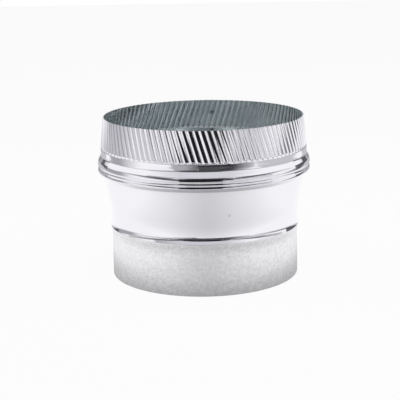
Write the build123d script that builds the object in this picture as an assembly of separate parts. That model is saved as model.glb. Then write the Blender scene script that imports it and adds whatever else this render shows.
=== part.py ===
from build123d import *
import os
from math import atan2, cos, hypot, pi, radians, sin, tan

os.makedirs("parts", exist_ok=True)

# Sheet and plain end, mm and degrees, z up from the rim of the plain end
sheet_t = 0.55  # 26 gauge galvanised steel
plain_bore_d = 228.6  # plain end, a nominal 9 in duct slips inside
plain_len = 52.5  # plain collar, rim to the foot of the lower bead
draw_len = 24.0  # top of the plain collar, pulled in beside the bead
draw_in = 0.9

# Lower bead and taper
low_bead_h = 2.2  # crest above the collar
low_bead_rise = 10.3  # foot to crest
low_bead_drop = 4.8  # crest to waist
low_crest_r = 2.0
waist_len = 12.4
waist_r = 13.0  # hollow between the crest and the waist
taper_len = 45.4  # waist to the underside of the stop bead

# Double stop bead between the taper and the neck
neck_d = 251.2  # plain neck, inside a nominal 10 in duct
taper_inset = 1.9  # top of the taper inside the neck radius
bead_h = 4.2  # corners of the stop bead above the neck
bead_under = 5.7  # height of its underside
groove_depth = 1.7  # groove between the lower ridge and the upper band
groove_rise = 4.1  # lower ridge to the groove
groove_top = 3.6  # groove to the upper band
bead_band = 4.2  # height of the upper band
band_lean = 0.5  # top of the band inside its foot
bead_top = 6.0  # height of the slope above it
bead_r = 3.0  # rounding of the ridge and the band
neck_len = 8.5  # plain neck, stop bead to the ends of the crimps

# Crimped end
crimp_count = 110
crimp_run_out = 4.5  # ends of the crimps, fading into the neck
crimp_len = 33.0  # full-depth crimps up to the rim
crimp_depth = 1.4
crimp_slant = 17.5  # lean of the crimps from the axis
crimp_inset = 3.6  # crests at the rim, inside the neck radius
crest_land = 0.9  # flat along a crest
valley_land = 3.3  # flat along a valley

# Longitudinal lap seam at the back
lap_width = 12.0
lap_side = 5.3  # degrees round from the middle of the back

# Heights and radii that follow
plain_r = plain_bore_d / 2 + sheet_t
neck_r = neck_d / 2
foot_z = plain_len
crest_z = foot_z + low_bead_rise
waist_z = crest_z + low_bead_drop
taper_z = waist_z + waist_len
bead_z = taper_z + taper_len
ridge_z = bead_z + bead_under
groove_z = ridge_z + groove_rise
band_z = groove_z + groove_top
shoulder_z = band_z + bead_band
neck_z = shoulder_z + bead_top
run_out_z = neck_z + neck_len
crimp_z = run_out_z + crimp_run_out
rim_z = crimp_z + crimp_len

# Outside of the sheet from the plain rim to the crimps: radius, height and rounding of each corner,
# positive where the outside is hollow
corners = [
    (plain_r, 0, 0),
    (plain_r, foot_z - draw_len, 0),
    (plain_r - draw_in, foot_z, 0),
    (plain_r + low_bead_h, crest_z, -low_crest_r),
    (plain_r, waist_z, waist_r),
    (plain_r, taper_z, 0),
    (neck_r - taper_inset, bead_z, 0),
    (neck_r + bead_h, ridge_z, -bead_r),
    (neck_r + bead_h - groove_depth, groove_z, 0),
    (neck_r + bead_h, band_z, -bead_r),
    (neck_r + bead_h - band_lean, shoulder_z, -bead_r),
    (neck_r, neck_z, 0),
    (neck_r, run_out_z, 0),
]


def heading(a, b):
    """Unit direction from one corner to the next."""
    length = hypot(b[0] - a[0], b[1] - a[1])
    return ((b[0] - a[0]) / length, (b[1] - a[1]) / length)


def offset_corners(points, depth):
    """Corners of the same outline moved inwards through the sheet, with its roundings kept concentric."""
    moved = []
    for i, (r, z, rounding) in enumerate(points):
        before = heading(points[max(i - 1, 0)], points[max(i, 1)])
        after = heading(points[min(i, len(points) - 2)], points[min(i + 1, len(points) - 1)])
        along = 1 + before[0] * after[0] + before[1] * after[1]
        shift_r = -depth * (before[1] + after[1]) / along
        shift_z = depth * (before[0] + after[0]) / along
        moved.append((r + shift_r, z + shift_z, rounding + depth if rounding else 0))
    return moved


def outline(points):
    """Edges through the corners, straight runs joined by tangent arcs."""
    edges = []
    last = (points[0][0], 0, points[0][1])
    for i in range(1, len(points) - 1):
        here = points[i]
        before = heading(points[i - 1], here)
        after = heading(here, points[i + 1])
        turn = atan2(before[0] * after[1] - before[1] * after[0], before[0] * after[0] + before[1] * after[1])
        reach = abs(here[2] * tan(turn / 2))
        start = (here[0] - before[0] * reach, 0, here[1] - before[1] * reach)
        edges.append(Edge.make_line(last, start))
        last = start
        if reach:
            last = (here[0] + after[0] * reach, 0, here[1] + after[1] * reach)
            edges.append(Edge.make_tangent_arc(start, (before[0], 0, before[1]), last))
    edges.append(Edge.make_line(last, (points[-1][0], 0, points[-1][1])))
    return edges


def sheet_section(inner, outer):
    """Face of sheet between two outlines, in the XZ plane."""
    outer_edges = outline(outer)
    inner_edges = outline(inner)
    ends = [
        Edge.make_line(inner_edges[0] @ 0, outer_edges[0] @ 0),
        Edge.make_line(inner_edges[-1] @ 1, outer_edges[-1] @ 1),
    ]
    return Face(Wire(outer_edges + inner_edges + ends))


def polar(r, angle, z):
    """Point at a radius, an angle in radians and a height."""
    return Vector(r * cos(angle), r * sin(angle), z)


def crimp_ring(levels, lands, foot_r):
    """Faces of one side of the crimped collar, with its foot arcs and rim points.

    levels: crest radius and height of the full-depth crimps, lower then upper
    lands: half widths of crest and valley
    """
    pitch = 2 * pi / crimp_count
    crest_half, valley_half = lands
    foot_arcs = []
    faces = []
    rim_points = []
    lean = tan(radians(crimp_slant))

    def twist(z):
        return (rim_z - z) * lean / neck_r

    def bend(k, level):
        crest, z = level
        middle = k * pitch + twist(z)
        valley = crest - crimp_depth
        return [
            polar(valley, middle - valley_half / valley, z),
            polar(valley, middle + valley_half / valley, z),
            polar(crest, middle + pitch / 2 - crest_half / crest, z),
            polar(crest, middle + pitch / 2 + crest_half / crest, z),
        ]

    def foot(k, share=0.0):
        return polar(foot_r, (k + share) * pitch + twist(run_out_z), run_out_z)

    for k in range(crimp_count):
        low = bend(k, levels[0]) + bend(k + 1, levels[0])[:1]
        high = bend(k, levels[1]) + bend(k + 1, levels[1])[:1]
        for i in range(4):
            lower = Edge.make_line(low[i], low[i + 1])
            upper = Edge.make_line(high[i], high[i + 1])
            faces.append(Face.make_surface_from_curves(lower, upper))
        for tip, i in ((foot(k), 0), (foot(k), 1), (foot(k + 1), 3)):
            faces.append(Face(Wire.make_polygon([tip, low[i], low[i + 1]])))
        arc = Edge.make_three_point_arc(foot(k), foot(k, 0.5), foot(k + 1))
        faces.append(Face.make_surface_from_curves(arc, Edge.make_line(low[2], low[3])))
        foot_arcs.append(arc)
        rim_points += high[:4]
    return faces, foot_arcs, rim_points


def crimped_collar():
    """Crimped collar above the neck: two corrugated skins closed at the rim and at the foot."""
    crest_low = neck_r - crimp_inset * crimp_run_out / (crimp_run_out + crimp_len)
    crest_high = neck_r - crimp_inset
    slope_run = pi * neck_r / crimp_count - (crest_land + valley_land) / 2
    mitre = sheet_t * tan(atan2(crimp_depth, slope_run) / 2)
    outer, outer_arcs, outer_rim = crimp_ring(
        [(crest_low, crimp_z), (crest_high, rim_z)],
        (crest_land / 2, valley_land / 2),
        neck_r,
    )
    inner, inner_arcs, inner_rim = crimp_ring(
        [(crest_low - sheet_t, crimp_z), (crest_high - sheet_t, rim_z)],
        (crest_land / 2 - mitre, valley_land / 2 + mitre),
        neck_r - sheet_t,
    )
    rim = Face(Wire.make_polygon(outer_rim), [Wire.make_polygon(inner_rim)])
    foot = Face(Wire(outer_arcs), [Wire(inner_arcs)])
    return Solid(Shell(outer + inner + [rim, foot]))


# Sheet from the plain rim to the neck, two layers thick along the lap
skin = offset_corners(corners, sheet_t)
lap_skin = offset_corners(corners, -sheet_t)
lap_angle = 360 * lap_width / (2 * pi * plain_r)
lap_start = 90 - lap_side - lap_angle / 2
lap = Solid.revolve(sheet_section(skin, lap_skin), lap_angle, Axis.Z).rotate(Axis.Z, lap_start)
sleeve = Solid.revolve(sheet_section(skin, corners), 360 - lap_angle, Axis.Z).rotate(Axis.Z, lap_start + lap_angle)

body = sleeve.fuse(lap, crimped_collar())
export_step(body, "parts/increaser_body.step")
print("rim height", rim_z, "valid", body.is_valid, "solids", len(body.solids()), "volume", body.volume)
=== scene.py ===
import random
from math import atan2, cos, hypot, pi, radians, sin, tan

import bpy
from mathutils import Matrix, Vector


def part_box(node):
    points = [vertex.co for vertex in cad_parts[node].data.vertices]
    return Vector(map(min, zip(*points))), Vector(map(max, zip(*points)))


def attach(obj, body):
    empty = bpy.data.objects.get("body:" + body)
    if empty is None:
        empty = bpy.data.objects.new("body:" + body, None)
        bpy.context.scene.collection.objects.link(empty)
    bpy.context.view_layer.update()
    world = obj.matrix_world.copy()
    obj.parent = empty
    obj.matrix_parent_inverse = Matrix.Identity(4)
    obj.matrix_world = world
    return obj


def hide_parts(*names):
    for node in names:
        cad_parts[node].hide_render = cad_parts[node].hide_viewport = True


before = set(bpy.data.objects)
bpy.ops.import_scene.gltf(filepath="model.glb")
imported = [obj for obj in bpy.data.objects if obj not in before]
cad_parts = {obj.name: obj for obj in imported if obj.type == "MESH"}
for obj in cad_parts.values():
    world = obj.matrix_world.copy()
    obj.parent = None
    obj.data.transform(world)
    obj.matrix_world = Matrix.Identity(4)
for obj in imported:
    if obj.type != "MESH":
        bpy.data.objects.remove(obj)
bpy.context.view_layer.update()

MM = 0.001

# Sheet and plain end
SHEET = 0.55 * MM
PLAIN_R = 114.3 * MM + SHEET
FOOT_Z = 52.5 * MM
DRAW_LEN = 24.0 * MM
DRAW_IN = 0.9 * MM
DRAW_ROUND = 300.0 * MM
# Lower bead, waist and taper
FOOT_ROUND = 25.0 * MM
CREST_OUT = 2.2 * MM
CREST_Z = 62.1 * MM
CREST_ROUND = 2.0 * MM
WAIST_Z = 67.0 * MM
WAIST_ROUND = 19.0 * MM
TAPER_Z = 80.0 * MM
TAPER_ROUND = 30.0 * MM
# Double stop bead and neck
NECK_R = 125.6 * MM
TAPER_INSET = 1.9 * MM
BEAD_OUT = 4.2 * MM
BEAD_Z = 125.4 * MM
RIDGE_Z = 130.2 * MM
RIDGE_FACE = 3.0 * MM
GROOVE = 1.55 * MM
GROOVE_Z = 134.2 * MM
GROOVE_FACE = 2.4 * MM
BAND_Z = 138.4 * MM
BAND_FACE = 5.5 * MM
FACE_LEAN = 0.17
CREASE_ROUND = 1.0 * MM
SHOULDER_ROUND = 6.0 * MM
BEAD_ROUND = 3.0 * MM
NECK_Z = 149.0 * MM
# Crimped collar
RUN_OUT_Z = 157.8 * MM
RUN_OUT = 1.6 * MM
RIM_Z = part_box("increaser_body")[1][2]
CRIMPS = 110
CRIMP_DEPTH = 1.15 * MM
CRIMP_INSET = 3.6 * MM
CRIMP_LEAN = tan(radians(17.5)) / NECK_R
# Unevenness of the crimps: share of the depth, turn of a crest in radians and height of an end, either way
DEPTH_RANGE = (0.93, 1.04)
CREST_SHIFT = 0.0012
END_SHIFT = 0.4 * MM
# Lap seam at the back, with its row of spot welds and the slit beside its cut edge
LAP_WIDTH = 12.0 * MM
LAP_MIDDLE = radians(90.0 - 5.3)
LAP_EDGE = LAP_MIDDLE - LAP_WIDTH / 2 / PLAIN_R
LAP_JOGGLE = 3.0 * MM
WELD_LINE = LAP_MIDDLE - radians(1.13)
WELD_R = 3.4 * MM
WELD_TOP = 16.0 * MM
WELD_PITCH = 24.5 * MM
# Edge and core of the dark line painted for the shade and dirt in the slit
SLIT_EDGE = 0.6 * MM
SLIT_CORE = 0.3 * MM
# Small dimple low on the front of the taper
DIMPLE = (0.0258, -0.1154, 0.096)
DIMPLE_R = 2.3 * MM
# Share of a round spot's radius that is marked in full, and span of a noise that the roughness follows
SPOT_CORE = 0.45
NOISE_SPAN = (0.3, 0.7)
# Height from which the rolls have burnished the sheet
WORKED_Z = CREST_Z - 2.0 * MM

# Bend of one crimp from the middle of its flat valley over the narrow crest: share of the pitch, rise
CRIMP_BEND = [
    (0.000, 0.00), (0.290, 0.00), (0.325, 0.06), (0.400, 0.50), (0.470, 0.92),
    (0.500, 1.00), (0.530, 0.92), (0.600, 0.50), (0.675, 0.06), (0.710, 0.00),
]
# Mesh rows outside and inside: angle along a bend, length along a straight run, rows of the run-outs and
# of the crimps
OUTSIDE_ROWS = (radians(9.0), 6.0 * MM, 8, 6)
INSIDE_ROWS = (radians(20.0), 40.0 * MM, 6, 6)
# Height where the mesh columns double, margin of the run-outs' rows and half the width of the lap's step
NECK_SPLIT = 153.0 * MM
ROW_MARGIN = 0.8 * MM
STEP_HALF = 0.05 * MM
SMOOTH_ANGLE = radians(35.0)

scatter = random.Random(11)


# Shape of the sheet

def heading(a, b):
    """Unit direction from one corner of the outline to the next."""
    length = hypot(b[0] - a[0], b[1] - a[1])
    return ((b[0] - a[0]) / length, (b[1] - a[1]) / length)


def leaning_face(r, z, height, low_round, high_round):
    """Foot and top of a face of the stop bead that leans in a little, as corners of the outline."""
    return [(r, z, low_round), (r - FACE_LEAN * height, z + height, high_round)]


def sleeve_corners():
    """Radius, height and rounding of each corner of the outside, from the plain rim to the neck."""
    bead_r = NECK_R + BEAD_OUT
    return [
        (PLAIN_R, 0.0, 0.0),
        (PLAIN_R, FOOT_Z - DRAW_LEN, DRAW_ROUND),
        (PLAIN_R - DRAW_IN, FOOT_Z, FOOT_ROUND),
        (PLAIN_R + CREST_OUT, CREST_Z, CREST_ROUND),
        (PLAIN_R, WAIST_Z, WAIST_ROUND),
        (PLAIN_R, TAPER_Z, TAPER_ROUND),
        (NECK_R - TAPER_INSET, BEAD_Z, BEAD_ROUND),
        *leaning_face(bead_r, RIDGE_Z, RIDGE_FACE, CREASE_ROUND, CREASE_ROUND),
        *leaning_face(bead_r - GROOVE, GROOVE_Z, GROOVE_FACE, CREASE_ROUND, CREASE_ROUND),
        *leaning_face(bead_r, BAND_Z, BAND_FACE, CREASE_ROUND, SHOULDER_ROUND),
        (NECK_R, NECK_Z, BEAD_ROUND),
        (NECK_R, NECK_SPLIT, 0.0),
    ]


def sleeve_outline(arc_step, run_step):
    """Outside of the sheet below the crimps, as (radius, height, normal) from the plain rim up."""
    corners = sleeve_corners()
    points = []

    def run(start, end, way):
        count = max(1, round(hypot(end[0] - start[0], end[1] - start[1]) / run_step))
        for i in range(count):
            share = i / count
            r = start[0] + (end[0] - start[0]) * share
            z = start[1] + (end[1] - start[1]) * share
            points.append((r, z, (way[1], -way[0])))

    last = corners[0][:2]
    for before, here, after in zip(corners, corners[1:], corners[2:]):
        r, z, rounding = here
        come = heading(before, here)
        leave = heading(here, after)
        cross = come[0] * leave[1] - come[1] * leave[0]
        turn = atan2(cross, come[0] * leave[0] + come[1] * leave[1])
        reach = rounding * tan(abs(turn) / 2)
        start = (r - come[0] * reach, z - come[1] * reach)
        run(last, start, come)
        bend = rounding if turn > 0 else -rounding
        centre = (start[0] - bend * come[1], start[1] + bend * come[0])
        count = max(1, round(abs(turn) / arc_step))
        for i in range(count):
            swing = turn * i / count
            out = come[1] * cos(swing) + come[0] * sin(swing)
            up = come[1] * sin(swing) - come[0] * cos(swing)
            points.append((centre[0] + bend * out, centre[1] + bend * up, (out, up)))
        last = (r + leave[0] * reach, z + leave[1] * reach)
    run(last, corners[-1][:2], heading(corners[-2], corners[-1]))
    points.append((corners[-1][0], corners[-1][1], (1.0, 0.0)))
    return points


def ease(share):
    """Smooth step from 0 to 1."""
    share = min(max(share, 0.0), 1.0)
    return share * share * (3 - 2 * share)


def lap_lift(angle):
    """Height of the outer layer over the lap, with a cut edge on one side and a joggle on the other."""
    off = (angle - LAP_MIDDLE + pi) % (2 * pi) - pi
    half = LAP_WIDTH / 2 / PLAIN_R
    joggle = LAP_JOGGLE / PLAIN_R
    if off < -half or off > half + joggle:
        return 0.0
    return SHEET * (1.0 - ease((off - half) / joggle))


def crimp_columns():
    """Angle at the rim, crimp number and rise of each column of the crimped collar."""
    pitch = 2 * pi / CRIMPS
    return [((k + share) * pitch, k, rise) for k in range(CRIMPS) for share, rise in CRIMP_BEND]


def sleeve_columns(columns):
    """Every second crimp column, upright below the crimps, with a pair drawn together at the cut edge."""
    lean = (RIM_Z - NECK_SPLIT) * CRIMP_LEAN
    angles = [(angle + lean) % (2 * pi) for angle, _, _ in columns[::2]]
    before = max((angle, i) for i, angle in enumerate(angles) if angle <= LAP_EDGE)[1]
    angles[before] = LAP_EDGE - STEP_HALF / PLAIN_R
    angles[(before + 1) % len(angles)] = LAP_EDGE + STEP_HALF / PLAIN_R
    return angles


def crimp_levels(end_rows, crimp_rows):
    """Heights of the rows of the crimped collar, closer together where the crimps run out."""
    low = RUN_OUT_Z - ROW_MARGIN
    high = RUN_OUT_Z + RUN_OUT + ROW_MARGIN
    rows = [(NECK_SPLIT + low) / 2]
    rows += [low + (high - low) * i / end_rows for i in range(end_rows + 1)]
    rows += [high + (RIM_Z - high) * i / crimp_rows for i in range(1, crimp_rows + 1)]
    return rows


def crimp_variation():
    """Depth, shift and end height of each crimp, as uneven as hand-fed rolls leave them."""
    return [
        (
            scatter.uniform(*DEPTH_RANGE),
            scatter.uniform(-CREST_SHIFT, CREST_SHIFT),
            scatter.uniform(-END_SHIFT, END_SHIFT),
        )
        for _ in range(CRIMPS)
    ]


def sheet_mesh():
    """Vertices and faces of the whole sheet, outside and inside, closed at both rims."""
    vertices, faces = [], []
    columns = crimp_columns()
    sleeve_angles = sleeve_columns(columns)
    variation = crimp_variation()

    def vertex(radius, angle, z):
        vertices.append((radius * cos(angle), radius * sin(angle), z))
        return len(vertices) - 1

    def sleeve_rows(inside, arc_step, run_step):
        rows = []
        for r, z, normal in sleeve_outline(arc_step, run_step):
            row = []
            for angle in sleeve_angles:
                lift = -SHEET if inside else lap_lift(angle)
                row.append(vertex(r + normal[0] * lift, angle, z + normal[1] * lift))
            rows.append(row)
        return rows

    def crimp_rows(inside, end_count, crimp_count):
        rows = []
        for z in crimp_levels(end_count, crimp_count):
            row = []
            draw_in = CRIMP_INSET * max(0.0, z - RUN_OUT_Z) / (RIM_Z - RUN_OUT_Z)
            for rim_angle, k, rise in columns:
                deep, shift, end = variation[k]
                full = min(max((z - RUN_OUT_Z - end) / RUN_OUT, 0.0), 1.0)
                angle = rim_angle + (RIM_Z - z) * CRIMP_LEAN + shift * rise * full
                lift = -SHEET if inside else lap_lift(angle)
                dip = CRIMP_DEPTH * deep * full * (1.0 - rise)
                row.append(vertex(NECK_R - draw_in - dip + lift, angle, z))
            rows.append(row)
        return rows

    def bridge(low, high, flip):
        count = len(low)
        for i in range(count):
            j = (i + 1) % count
            if len(high) == 2 * count:
                face = [low[i], low[j], high[2 * j], high[2 * i + 1], high[2 * i]]
            else:
                face = [low[i], low[j], high[j], high[i]]
            faces.append(face[::-1] if flip else face)

    sides = [
        sleeve_rows(inside, *counts[:2]) + crimp_rows(inside, *counts[2:])
        for inside, counts in ((False, OUTSIDE_ROWS), (True, INSIDE_ROWS))
    ]
    for inside, rows in enumerate(sides):
        for low, high in zip(rows, rows[1:]):
            bridge(low, high, inside)
    bridge(sides[1][0], sides[0][0], False)
    bridge(sides[0][-1], sides[1][-1], False)
    return vertices, faces


def add_mesh(name, vertices, faces):
    """New mesh object in the scene."""
    mesh = bpy.data.meshes.new(name)
    mesh.from_pydata(vertices, [], faces)
    mesh.update()
    piece = bpy.data.objects.new(name, mesh)
    bpy.context.scene.collection.objects.link(piece)
    return piece


# Nodes

def linear(colour):
    """Linear RGBA of an sRGB hex value."""
    channels = [int(colour[i:i + 2], 16) / 255 for i in (1, 3, 5)]
    return [c / 12.92 if c <= 0.04045 else ((c + 0.055) / 1.055) ** 2.4 for c in channels] + [1.0]


def add(tree, kind, settings=None, **links):
    """New node with its settings, and values or links for its inputs.

    An input goes by its name, or by its number as n0, n1 and so on.
    """
    node = tree.nodes.new(kind)
    for key, value in (settings or {}).items():
        setattr(node, key, value)
    for key, value in links.items():
        by_number = key[0] == "n" and key[1:].isdigit()
        socket = node.inputs[int(key[1:]) if by_number else key.replace("_", " ")]
        if isinstance(value, bpy.types.NodeSocket):
            tree.links.new(value, socket)
        else:
            socket.default_value = value
    return node


def numbered(values):
    """Inputs of a node by number."""
    return {f"n{i}": value for i, value in enumerate(values)}


def calc(tree, operation, *values):
    """Result of a Math node."""
    return add(tree, "ShaderNodeMath", {"operation": operation}, **numbered(values)).outputs[0]


def measure(tree, operation, *vectors):
    """Number that a Vector Math node finds, such as a distance."""
    return add(tree, "ShaderNodeVectorMath", {"operation": operation}, **numbered(vectors)).outputs["Value"]


def ramp(tree, value, start, end, low=0.0, high=1.0):
    """Low where the value is at the start of a span, high at its end."""
    return add(tree, "ShaderNodeMapRange", Value=value, n1=start, n2=end, n3=low, n4=high).outputs[0]


def blend(tree, share, first, second):
    """Colour between two others."""
    return add(tree, "ShaderNodeMix", {"data_type": "RGBA"}, n0=share, n6=first, n7=second).outputs[2]


def noise(tree, place, grain_mm, detail):
    """Noise with grains of a real size."""
    scale = 1.0 / (grain_mm * MM)
    return add(tree, "ShaderNodeTexNoise", Vector=place, Scale=scale, Detail=detail).outputs[0]


def object_place(tree):
    """Place on the surface, in metres in the shared frame."""
    return add(tree, "ShaderNodeTexCoord").outputs["Object"]


def background_rays(tree):
    """1 for what the camera sees by itself or through metal and glass, else 0."""
    path = add(tree, "ShaderNodeLightPath").outputs
    seen = calc(tree, "MAXIMUM", path["Is Camera Ray"], path["Is Glossy Ray"])
    return calc(tree, "MAXIMUM", seen, path["Is Transmission Ray"])


def new_material(name):
    """Empty node material, its tree and its output."""
    material = bpy.data.materials.new(name)
    material.use_nodes = True
    tree = material.node_tree
    tree.nodes.clear()
    return material, tree, tree.nodes.new("ShaderNodeOutputMaterial")


# Zinc finishes

def spot(tree, away, radius):
    """1 in the core of a round spot, fading to 0 at its edge."""
    return ramp(tree, away, radius, SPOT_CORE * radius)


def lap_line(tree, place, turn, along=0.0):
    """Distance from an upright line on the lap's side, or from the points that along spaces out on it."""
    across = measure(tree, "DOT_PRODUCT", place, (-sin(turn), cos(turn), 0.0))
    outward = measure(tree, "DOT_PRODUCT", place, (cos(turn), sin(turn), 0.0))
    far_side = calc(tree, "LESS_THAN", outward, 0.0)
    off = add(tree, "ShaderNodeCombineXYZ", X=across, Y=along, Z=far_side)
    return measure(tree, "LENGTH", off.outputs[0])


def welds(tree, place):
    """1 in the core of the spot welds, a row up the lap, fading to 0 at their edge."""
    height = add(tree, "ShaderNodeSeparateXYZ", Vector=place).outputs["Z"]
    down = calc(tree, "SUBTRACT", RIM_Z - WELD_TOP, height)
    along = calc(tree, "WRAP", down, WELD_PITCH / 2, -WELD_PITCH / 2)
    return spot(tree, lap_line(tree, place, WELD_LINE, along), WELD_R)


def lap_marks(tree, place, tone):
    """Tone of the outside with its weld spots and a dark line beside the lap's cut edge.

    The line is painted shade and dirt in the slit. The slit is hairline on the real sheet and drawn 1 mm
    wide so that it shows.
    """
    # Painted shade, with dirt: a dark line over the slit beside the lap's cut edge
    slit = ramp(tree, lap_line(tree, place, LAP_EDGE), SLIT_EDGE, SLIT_CORE)
    slit_shade_tone = blend(tree, slit, tone, linear("#77787c"))
    return blend(tree, welds(tree, place), slit_shade_tone, linear("#b4b5b8"))


def zinc(tree, output, tone, rough, bump):
    """Metal shader shared by the zinc finishes."""
    metal = add(
        tree,
        "ShaderNodeBsdfPrincipled",
        Base_Color=tone,
        Metallic=1.0,
        Roughness=rough,
        Normal=bump.outputs[0],
    )
    tree.links.new(metal.outputs[0], output.inputs["Surface"])


def worked_zinc():
    """Zinc burnished by the forming rolls: bright, nearly mirror-like, with faint rings of roll marks."""
    material, tree, output = new_material("worked_zinc")
    place = object_place(tree)
    ring_mm, cloud_mm = 1.6, 35.0
    changes_per_metre = 6.0  # along a ring
    rough_range = (0.06, 0.12)
    dimple_dip = -5.0
    stretch = (changes_per_metre, changes_per_metre, 1.0 / (ring_mm * MM))
    rings = add(tree, "ShaderNodeMapping", Vector=place, Scale=stretch)
    marks = add(tree, "ShaderNodeTexNoise", Vector=rings.outputs[0], Scale=1.0, Detail=3.0).outputs[0]
    cloud = noise(tree, place, cloud_mm, 2.0)
    tone = blend(tree, cloud, linear("#f0eff4"), linear("#f5f4f8"))
    dimple = spot(tree, measure(tree, "DISTANCE", place, DIMPLE), DIMPLE_R)
    # The tone is darker in the dimple
    dimple_darkened = blend(tree, dimple, tone, linear("#dadade"))
    rough = ramp(tree, marks, *NOISE_SPAN, *rough_range)
    height = calc(tree, "MULTIPLY_ADD", dimple, dimple_dip, marks)
    bump = add(tree, "ShaderNodeBump", Height=height, Strength=0.5, Distance=0.006 * MM)
    zinc(tree, output, lap_marks(tree, place, dimple_darkened), rough, bump)
    return material


def spangled_zinc():
    """Zinc as it leaves the bath: small flat crystals that each catch the light a little differently."""
    material, tree, output = new_material("spangled_zinc")
    place = object_place(tree)
    spangle_mm, mottle_mm, mottle_share = 2.6, 1.0, 0.6
    grain_span, rough_range = (0.2, 0.8), (0.17, 0.28)
    mottle = noise(tree, place, mottle_mm, 2.0)
    crystal = add(tree, "ShaderNodeTexVoronoi", Vector=place, Scale=1.0 / (spangle_mm * MM))
    spangle = add(tree, "ShaderNodeSeparateColor", Color=crystal.outputs["Color"]).outputs[0]
    grain = add(tree, "ShaderNodeMix", n0=mottle_share, n2=spangle, n3=mottle).outputs[0]
    tone = blend(tree, ramp(tree, grain, *grain_span), linear("#e3e3e7"), linear("#fdfdfe"))
    rough = ramp(tree, grain, *grain_span, *rough_range)
    bump = add(tree, "ShaderNodeBump", Height=grain, Strength=0.3, Distance=0.015 * MM)
    zinc(tree, output, lap_marks(tree, place, tone), rough, bump)
    return material


def inner_zinc():
    """Zinc inside the duct, darker and greener than outside as painted shade, with the lap's spot welds."""
    material, tree, output = new_material("shaded_inside_zinc")
    place = object_place(tree)
    mottle_mm, rough_range, weld_dip = 4.0, (0.08, 0.14), -6.0
    mottle = noise(tree, place, mottle_mm, 3.0)
    # Painted shade: the inside's tone is set darker and greener than the outside's
    tone = blend(tree, mottle, linear("#dbe2e4"), linear("#e9edee"))
    weld = welds(tree, place)
    burnt = blend(tree, weld, tone, linear("#8c9293"))
    rough = ramp(tree, mottle, *NOISE_SPAN, *rough_range)
    height = calc(tree, "MULTIPLY_ADD", weld, weld_dip, mottle)
    bump = add(tree, "ShaderNodeBump", Height=height, Strength=0.4, Distance=0.02 * MM)
    zinc(tree, output, burnt, rough, bump)
    return material


def sheet_body():
    """Finely meshed sheet in place of the CAD solid, with its three zinc finishes."""
    vertices, faces = sheet_mesh()
    body = add_mesh("galvanised_sheet", vertices, faces)
    body.data.shade_smooth()
    body.data.set_sharp_from_angle(angle=SMOOTH_ANGLE)
    for finish in (spangled_zinc(), worked_zinc(), inner_zinc()):
        body.data.materials.append(finish)
    for face in body.data.polygons:
        outward = face.normal.x * face.center.x + face.normal.y * face.center.y
        if outward < 0:
            face.material_index = 2
        elif face.center.z > WORKED_Z:
            face.material_index = 1
    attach(body, "root")
    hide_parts("increaser_body")


# Studio

def paper_material():
    """White paper: white to the camera, and with painted shade near the object as the metal sees it.

    The metal sees painted shadow: a long dim area in front of the object and a shade round its foot.
    Inside the duct, and to diffuse light, it is plain paper, and a small share of plain paper keeps the
    shadow elsewhere.
    """
    material, tree, output = new_material("white_paper_sweep")
    place = object_place(tree)
    front_shade_stretch, front_shade_middle = (1.0, 0.45, 1.0), (0.008, -0.07, 0.0)
    front_shade_reach, front_shade_tones = (0.02, 0.28), (0.61, 1.03)
    shade_width, shade_tones = 70.0 * MM, (0.62, 1.0)
    glow_share = 0.93
    # Painted shadow for the metal's view of the paper: dim in front of the object and round its foot
    stretched = add(tree, "ShaderNodeVectorMath", {"operation": "MULTIPLY"}, n0=place, n1=front_shade_stretch)
    away = measure(tree, "DISTANCE", stretched.outputs[0], front_shade_middle)
    front_shade = ramp(tree, away, *front_shade_reach, *front_shade_tones)
    middle = measure(tree, "LENGTH", place)
    foot_shade = ramp(tree, middle, PLAIN_R, PLAIN_R + shade_width, *shade_tones)
    mirrored = calc(tree, "MULTIPLY", front_shade, foot_shade)
    camera_ray = add(tree, "ShaderNodeLightPath").outputs["Is Camera Ray"]
    strength = add(tree, "ShaderNodeMix", n0=camera_ray, n2=mirrored, n3=1.0).outputs[0]
    outside = calc(tree, "GREATER_THAN", middle, PLAIN_R - SHEET / 2)
    share = calc(tree, "MULTIPLY", calc(tree, "MULTIPLY", background_rays(tree), outside), glow_share)
    paper = add(tree, "ShaderNodeBsdfDiffuse", Color=linear("#f2f2f2"))
    glow = add(tree, "ShaderNodeEmission", Color=linear("#ffffff"), Strength=strength)
    mix = add(tree, "ShaderNodeMixShader", n0=share, n1=paper.outputs[0], n2=glow.outputs[0])
    tree.links.new(mix.outputs[0], output.inputs["Surface"])
    return material


def rectangle(low, high):
    """Corners of a rectangle of the floor plan."""
    return [low, (high[0], low[1]), high, (low[0], high[1])]


def level(plan, height):
    """Corners of a flat card over a shape of the floor plan."""
    return [(x, y, height) for x, y in plan]


def standing(start, end, low, high):
    """Corners of an upright card between two points of the floor plan."""
    return [(*start, low), (*end, low), (*end, high), (*start, high)]


def paper_sweep():
    """Paper that the object stands on."""
    reach = 6.0
    sweep = add_mesh("paper_sweep", level(rectangle((-reach, -reach), (reach, reach)), 0.0), [(0, 1, 2, 3)])
    sweep.data.materials.append(paper_material())


def card_material(name, start, end=None, axis="X", span=(0.0, 1.0)):
    """Card that polished metal mirrors, of one tone or fading to another along an axis of the set."""
    material, tree, output = new_material(name)
    card = add(tree, "ShaderNodeEmission", Color=linear(start), Strength=1.0)
    if end:
        along = add(tree, "ShaderNodeSeparateXYZ", Vector=object_place(tree)).outputs[axis]
        tone = blend(tree, ramp(tree, along, *span), linear(start), linear(end))
        tree.links.new(tone, card.inputs["Color"])
    tree.links.new(card.outputs[0], output.inputs["Surface"])
    return material


def add_card(name, corners, material):
    """Flat card of the set that shows only in the metal's reflections."""
    card = add_mesh(name, corners, [tuple(range(len(corners)))])
    card.data.materials.append(material)
    card.visible_camera = False
    card.visible_diffuse = False
    card.visible_shadow = False


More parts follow.
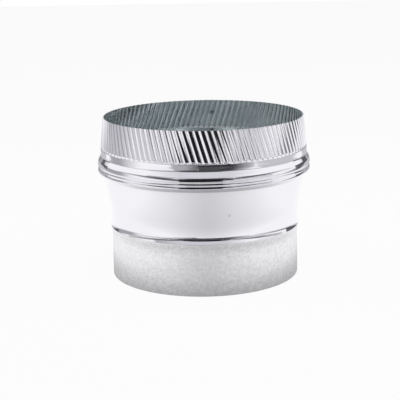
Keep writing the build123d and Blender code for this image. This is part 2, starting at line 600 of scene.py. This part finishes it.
def cards():
    """Cards round the object, in metres, whose reflections make the dark and light bands on the metal."""
    black = card_material("black_card", "#18191d")
    matt = card_material("matt_black_card", "#303135")
    slate = card_material("slate_card", "#4c4d51")
    dusky = card_material("dusky_card", "#5c5d61")
    dark = card_material("dark_grey_card", "#8c8d91")
    light = card_material("light_card", "#c8c8cc")
    grey = card_material("grey_card", "#d2d2d6")
    pale = card_material("pale_card", "#dcdce0")
    # Fading tones for the cards on the floor in front and at the left: painted shade on the paper as the
    # metal sees it
    left_floor_shade = card_material("left_floor_shade_card", "#b2b2b6", "#303135", "X", (-0.3, -0.08))
    front_floor_shade = card_material("front_floor_shade_card", "#303135", "#c0c0c4", "X", (0.42, 0.68))
    darkening = card_material("darkening_card", "#d2d2d6", "#4c4d51", "X", (-0.9, -0.4))
    lightening = card_material("lightening_card", "#4c4d51", "#d2d2d6", "X", (0.45, 0.8))
    fading = card_material("fading_card", "#505054", "#fafafc", "Y", (-1.0, 1.0))
    side = card_material("side_card", "#ffffff", "#a8a8ac", "Y", (-0.3, 0.15))
    rising = card_material("rising_card", "#ffffff", "#d8d8dc", "X", (-2.2, -0.85))
    dim = card_material("dim_card", "#b4b4b8", "#d8d8dc", "X", (-2.0, -0.85))
    falling = card_material("falling_card", "#d8d8dc", "#ffffff", "X", (0.85, 2.2))
    dusk = card_material("dusk_card", "#ffffff", "#8c8d91", "X", (-2.6, -0.9))
    dawn = card_material("dawn_card", "#8c8d91", "#ffffff", "X", (0.9, 2.6))

    floor, lens, ceiling = 2 * MM, 1.85, 1.9
    near, far, back = -0.5, -1.7, 2.0
    scrim = far - 0.02
    front_plan = [(-0.1, -1.3), (0.72, -1.3), (0.72, -0.55), (0.58, near), (0.45, near)]
    front_plan += [(0.2, -0.7), (-0.1, -0.72)]
    # Cards at floor height paint light and shade on the paper as the metal sees it
    for name, plan, height, tone in (
        ("front_floor", front_plan, floor, front_floor_shade),
        ("far_floor", [(-0.7, far), (-0.1, far), (-0.1, -0.92), (-0.5, -0.92)], floor, matt),
        ("left_floor", [(-0.52, -0.9), (-0.1, -0.9), (-0.1, near), (-0.46, near)], floor, left_floor_shade),
        ("left_side_floor", [(-1.4, -0.4), (-0.66, -0.4), (-0.75, 0.55), (-1.4, 0.55)], floor, side),
        (
            "right_side_floor",
            [(0.68, -0.54), (1.4, -0.54), (1.4, 0.55), (0.8, 0.55), (0.77, -0.1)],
            floor,
            light,
        ),
        ("back_floor", rectangle((-1.4, 0.55), (1.4, back)), floor, light),
        ("lens_flag", rectangle((-0.5, -1.2), (0.5, -0.65)), lens, black),
        ("ceiling", rectangle((-0.85, -4.0), (0.85, 1.5)), ceiling, pale),
        ("left_ceiling", rectangle((-2.2, -4.0), (-0.85, 1.5)), ceiling, rising),
        ("right_ceiling", rectangle((0.85, -4.0), (2.2, 1.5)), ceiling, falling),
    ):
        add_card(name, level(plan, height), tone)

    for name, start, end, low, high, tone in (
        ("low_flag", (-0.45, -0.75), (0.5, -0.75), 0.035, 0.13, slate),
        ("left_low_flag", (-1.3, -0.2), (-0.45, -0.75), 0.035, 0.13, darkening),
        ("right_low_flag", (0.5, -0.75), (1.3, -0.2), 0.035, 0.13, lightening),
        ("left_flag", (-1.0, far), (-1.5, 0.3), 0.24, 0.42, fading),
        ("right_flag", (1.0, far), (1.5, 0.3), 0.24, 0.42, fading),
        ("left_low", (-1.43, -0.3), (-1.5, 1.0), floor, 0.26, side),
        ("right_low", (0.75, -1.4), (1.45, -0.46), floor, 0.26, pale),
        ("front_scrim", (-0.85, scrim), (0.85, scrim), 0.4, 1.3, grey),
        ("left_scrim", (-2.2, -1.1), (-0.85, scrim), 0.4, 1.3, dim),
        ("right_scrim", (0.85, scrim), (2.2, scrim), 0.4, 1.3, falling),
        ("left_corner", (-1.5, 1.0), (-1.4, back), floor, 0.5, dusky),
        ("right_corner", (1.45, 0.5), (1.4, back), floor, 0.5, dusky),
        ("right_skirt", (1.45, -0.46), (1.45, 0.5), floor, 0.1, dark),
        ("back_flag", (-0.9, back), (0.9, back), floor, 1.6, dark),
        ("left_back_flag", (-2.6, back), (-0.9, back), floor, 1.6, dusk),
        ("right_back_flag", (0.9, back), (2.6, back), floor, 1.6, dawn),
    ):
        add_card(name, standing(start, end, low, high), tone)

    hill = [(-0.85, 0.0), (0.54, 0.0), (0.54, 0.24), (1.0, 0.24), (1.0, 0.38)]
    hill += [(0.5, 0.46), (-0.5, 0.46), (-1.0, 0.38), (-1.0, 0.24), (-0.85, 0.24)]
    add_card("front_flag", [(x, far, z + floor) for x, z in hill], black)


def softboxes():
    """Three soft lamps, which light the set and don't show in the metal."""
    for name, where, aim, power, size in (
        ("left_softbox", (-1.3, 0.4, 0.65), (0.0, 0.4, 0.65), 5.0, (1.1, 1.0)),
        ("right_softbox", (1.3, 0.15, 0.65), (0.0, 0.15, 0.65), 6.5, (1.5, 1.0)),
        ("top_softbox", (0.0, -0.5, 1.7), (0.0, -0.5, 0.0), 15.0, (2.6, 2.2)),
    ):
        lamp = bpy.data.lights.new(name, "AREA")
        lamp.shape = "RECTANGLE"
        lamp.energy = power
        lamp.size, lamp.size_y = size
        piece = bpy.data.objects.new(name, lamp)
        piece.location = where
        piece.rotation_euler = (Vector(aim) - Vector(where)).to_track_quat("-Z", "Y").to_euler()
        piece.visible_camera = False
        piece.visible_glossy = False
        bpy.context.scene.collection.objects.link(piece)


def studio_world():
    """World that is white to the camera and in the metal, and a dimmer fill light."""
    fill = 0.35
    world = bpy.data.worlds.new("studio")
    bpy.context.scene.world = world
    world.use_nodes = True
    tree = world.node_tree
    tree.nodes.clear()
    strength = ramp(tree, background_rays(tree), 0.0, 1.0, fill, 1.0)
    sky = add(tree, "ShaderNodeBackground", Color=linear("#ffffff"), Strength=strength)
    output = tree.nodes.new("ShaderNodeOutputWorld")
    tree.links.new(sky.outputs[0], output.inputs["Surface"])


def camera():
    """Camera at the photograph's viewing angle, with its slight roll."""
    distance, height, side = 1.311, 0.400, radians(1.13)
    pitch, aim_left, roll = radians(13.40), radians(0.24), radians(1.0)
    lens = bpy.data.cameras.new("camera")
    lens.sensor_width = 36.0
    lens.lens = 97.8
    piece = bpy.data.objects.new("camera", lens)
    place = Matrix.Translation((-distance * sin(side), -distance * cos(side), height))
    turn = Matrix.Rotation(aim_left - side, 4, "Z") @ Matrix.Rotation(pi / 2 - pitch, 4, "X")
    piece.matrix_world = place @ turn @ Matrix.Rotation(-roll, 4, "Z")
    bpy.context.scene.collection.objects.link(piece)
    bpy.context.scene.camera = piece


sheet_body()
paper_sweep()
cards()
softboxes()
studio_world()
camera()
bpy.context.scene.view_settings.view_transform = "Standard"
